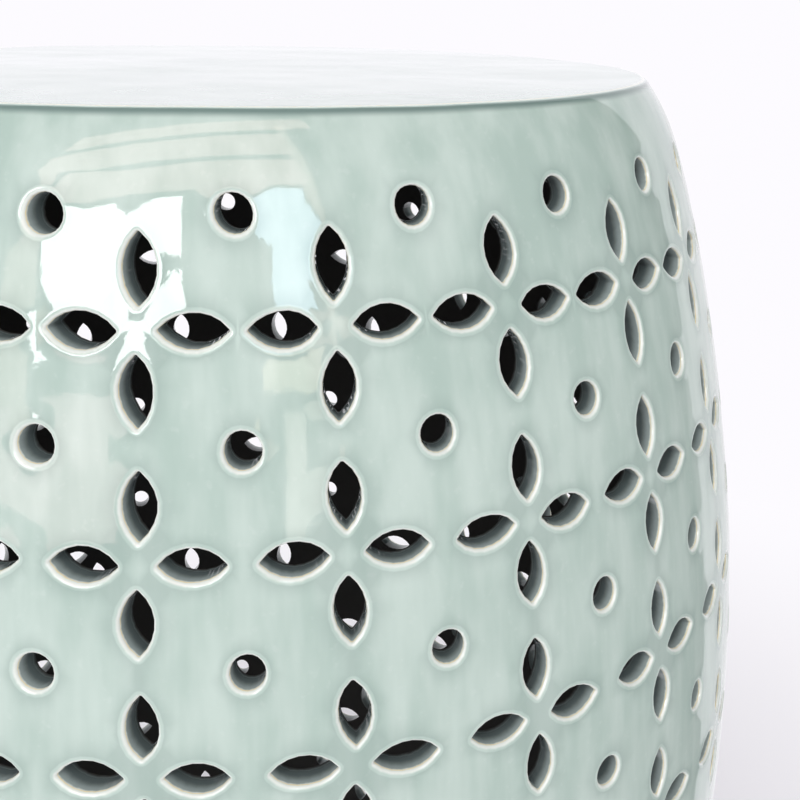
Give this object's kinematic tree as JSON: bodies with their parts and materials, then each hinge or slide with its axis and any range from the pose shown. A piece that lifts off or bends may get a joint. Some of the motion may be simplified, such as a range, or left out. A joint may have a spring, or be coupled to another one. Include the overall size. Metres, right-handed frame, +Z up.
{
  "type": "garden stool",
  "caption": "Barrel-shaped stool of glazed stoneware with a flat closed seat, a pierced wall of pointed petals and round holes, and an open foot on rubber pads.",
  "frame": {"origin": "on the floor under the middle of the stool", "axes": "+Z up along the stool's axis; a column of flowers faces -Y"},
  "size_m": [0.355, 0.355, 0.457],
  "materials": {
    "celadon_glaze": "high-gloss pale blue-green glaze, breaking to cream at the cut edges of the holes",
    "pad_rubber": "matt grey rubber"
  },
  "bodies": {
    "root": {"seat_top": "celadon_glaze", "upper_barrel": "celadon_glaze", "lower_barrel": "celadon_glaze", "foot_ring": "celadon_glaze", "floor_pad_1": "pad_rubber", "floor_pad_2": "pad_rubber", "floor_pad_3": "pad_rubber", "floor_pad_4": "pad_rubber"}
  },
  "joints": []
}
